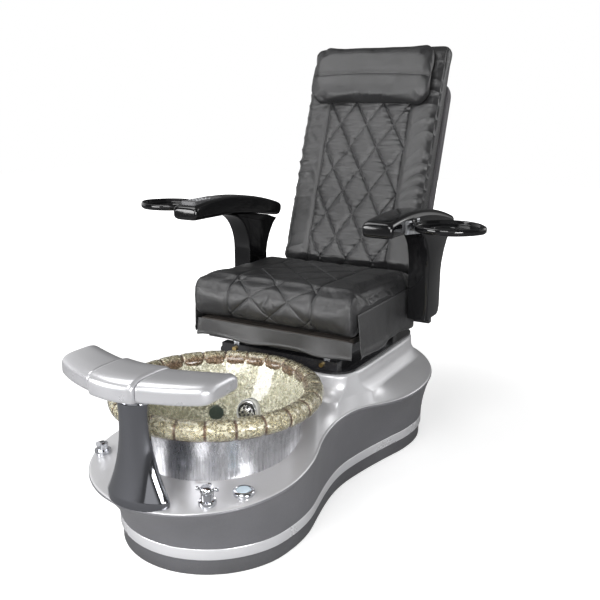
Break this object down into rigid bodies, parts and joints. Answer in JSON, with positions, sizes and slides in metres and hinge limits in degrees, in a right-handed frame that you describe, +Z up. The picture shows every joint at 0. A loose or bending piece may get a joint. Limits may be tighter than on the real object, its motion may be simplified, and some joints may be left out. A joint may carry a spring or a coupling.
{
  "type": "pedicure spa chair",
  "caption": "Reclining pedicure spa chair on slide rails over a moulded base with round foot bath, adjustable footrest, lifting arms and fold-up trays.",
  "frame": {"origin": "on the floor, in the middle of the base pan's underside, on the chair's centre line", "axes": "+X to the sitter's left, +Y to the back of the chair, +Z up"},
  "size_m": [1.203, 1.5244, 1.3645],
  "materials": {
    "plinth": "satin dark grey paint",
    "pan": "primed steel sheet",
    "band": "bright silver trim",
    "deck_paint": "silver metallic paint on moulded plastic",
    "skirt": "vertically brushed",
    "basin_foil": "crinkled pale gold foil under clear resin",
    "rim_foil": "crinkled gold and copper foil under clear resin",
    "chrome": "polished",
    "black_plastic": "moulded",
    "white_plastic": "moulded",
    "lens": "clear lens",
    "button_cap": "pale blue moulding",
    "steel": "bright zinc",
    "footrest_paint": "satin silver paint",
    "black_metal": "semi-gloss black",
    "bolt_brass": "yellow passivated",
    "board": "plywood",
    "hide": "charcoal grained upholstery, diamond quilted",
    "hide_flap": "charcoal grained upholstery",
    "shell_plastic": "grained moulding",
    "roller": "soft moulding",
    "gloss_black": "high gloss piano black",
    "handset": "satin moulding",
    "keys": "soft keys"
  },
  "bodies": {
    "base": {"kick_plinth": "plinth", "base_pan": "pan", "bright_band": "band", "tub_body": "deck_paint", "bowl_skirt": "skirt", "basin": "basin_foil", "basin_rim": "rim_foil", "drain_strainer": "chrome", "drain_pipe": "black_plastic", "jet_collar": "white_plastic", "jet_housing": "black_plastic", "jet_cover": "chrome", "basin_light": "lens", "valve_body": "chrome", "button_bezel": "chrome", "diverter_body": "chrome", "footrest_column": "chrome", "footrest_guide": "steel", "seat_plate": "black_metal", "slide_frame": "black_metal", "frame_bolts": "bolt_brass", "fixed_rails": "steel", "discharge_pump": "black_plastic", "control_box": "white_plastic", "power_inlet": "black_plastic"},
    "impeller": {"jet_impeller": "white_plastic"},
    "valve": {"valve_handle": "chrome"},
    "button": {"air_button": "button_cap"},
    "diverter": {"diverter_lever": "chrome"},
    "footrest": {"footrest_post": "chrome", "footrest_bracket": "steel", "footrest_centre": "footrest_paint", "footrest_wing_left": "footrest_paint", "footrest_wing_right": "footrest_paint"},
    "seat": {"moving_rails": "steel", "seat_frame": "black_metal", "seat_board": "board", "seat_cushion": "hide", "front_flap": "hide_flap", "side_flap_left": "hide_flap", "side_flap_right": "hide_flap", "recline_pins": "steel", "actuator_body": "steel", "arm_post_left": "gloss_black", "arm_post_right": "gloss_black"},
    "actuator": {"actuator_rod": "chrome"},
    "back": {"back_frame": "black_metal", "back_cushion": "hide", "back_shell": "shell_plastic", "head_pillow": "hide"},
    "massager": {"massage_carriage": "steel"},
    "rollers": {"massage_rollers": "roller"},
    "armrest_left": {"arm_left": "gloss_black", "tray_bracket_left": "steel"},
    "armrest_right": {"arm_right": "gloss_black", "tray_bracket_right": "steel"},
    "flap_tray_left": {"tray_left": "gloss_black"},
    "flap_tray_right": {"tray_right": "gloss_black"},
    "remote": {"remote_handset": "handset"},
    "keys": {"remote_keys": "keys"}
  },
  "joints": [
    {"name": "jet_spin", "type": "hinge", "parent": "base", "child": "impeller", "pos_m": [-0.02, -0.15, 0.262], "axis": [0, 1, 0], "continuous": true},
    {"name": "valve_turn", "type": "hinge", "parent": "base", "child": "valve", "pos_m": [0.168, -0.615, 0.23], "axis": [0, 0, 1], "range_deg": [0, 90]},
    {"name": "button_press", "type": "slide", "parent": "base", "child": "button", "axis": [0, 0, -1], "range_m": [0, 0.0028], "stiffness_N_per_m": 400},
    {"name": "diverter_turn", "type": "hinge", "parent": "base", "child": "diverter", "pos_m": [-0.243, -0.54, 0.23], "axis": [0, 0, 1], "range_deg": [-45, 90]},
    {"name": "footrest_lift", "type": "slide", "parent": "base", "child": "footrest", "axis": [0, 0, 1], "range_m": [0, 0.08]},
    {"name": "seat_slide", "type": "slide", "parent": "base", "child": "seat", "axis": [0, 1, 0], "range_m": [-0.08, 0.06]},
    {"name": "recline", "type": "hinge", "parent": "seat", "child": "back", "pos_m": [0, 0.44, 0.52], "axis": [-1, 0, 0], "range_deg": [0, 35]},
    {"name": "actuator_stroke", "type": "slide", "parent": "seat", "child": "actuator", "axis": [0, -1, 0], "range_m": [0, 0.04]},
    {"name": "massage_travel", "type": "slide", "parent": "back", "child": "massager", "axis": [0, 0.3256, 0.9455], "range_m": [-0.2, 0.28]},
    {"name": "roller_spin", "type": "hinge", "parent": "massager", "child": "rollers", "pos_m": [0, 0.61152, 0.85226], "axis": [1, 0, 0], "continuous": true},
    {"name": "arm_left_lift", "type": "hinge", "parent": "seat", "child": "armrest_left", "pos_m": [0.333, 0.47, 0.782], "axis": [-1, 0, 0], "range_deg": [0, 80]},
    {"name": "arm_right_lift", "type": "hinge", "parent": "seat", "child": "armrest_right", "pos_m": [-0.333, 0.47, 0.782], "axis": [-1, 0, 0], "range_deg": [0, 80]},
    {"name": "tray_left_fold", "type": "hinge", "parent": "armrest_left", "child": "flap_tray_left", "pos_m": [0.3875, 0.096, 0.84], "axis": [0, -1, 0], "range_deg": [0, 90]},
    {"name": "tray_right_fold", "type": "hinge", "parent": "armrest_right", "child": "flap_tray_right", "pos_m": [-0.3875, 0.096, 0.84], "axis": [0, 1, 0], "range_deg": [0, 90]},
    {"name": "remote_lift", "type": "slide", "parent": "armrest_right", "child": "remote", "axis": [0, 0, 1], "range_m": [0, 0.06]},
    {"name": "keys_press", "type": "slide", "parent": "remote", "child": "keys", "axis": [0, 0, -1], "range_m": [0, 0.0008], "stiffness_N_per_m": 700}
  ],
  "couplings": [
    {"joint": "actuator_stroke", "follows": "recline", "m_per_rad": 0.062}
  ]
}
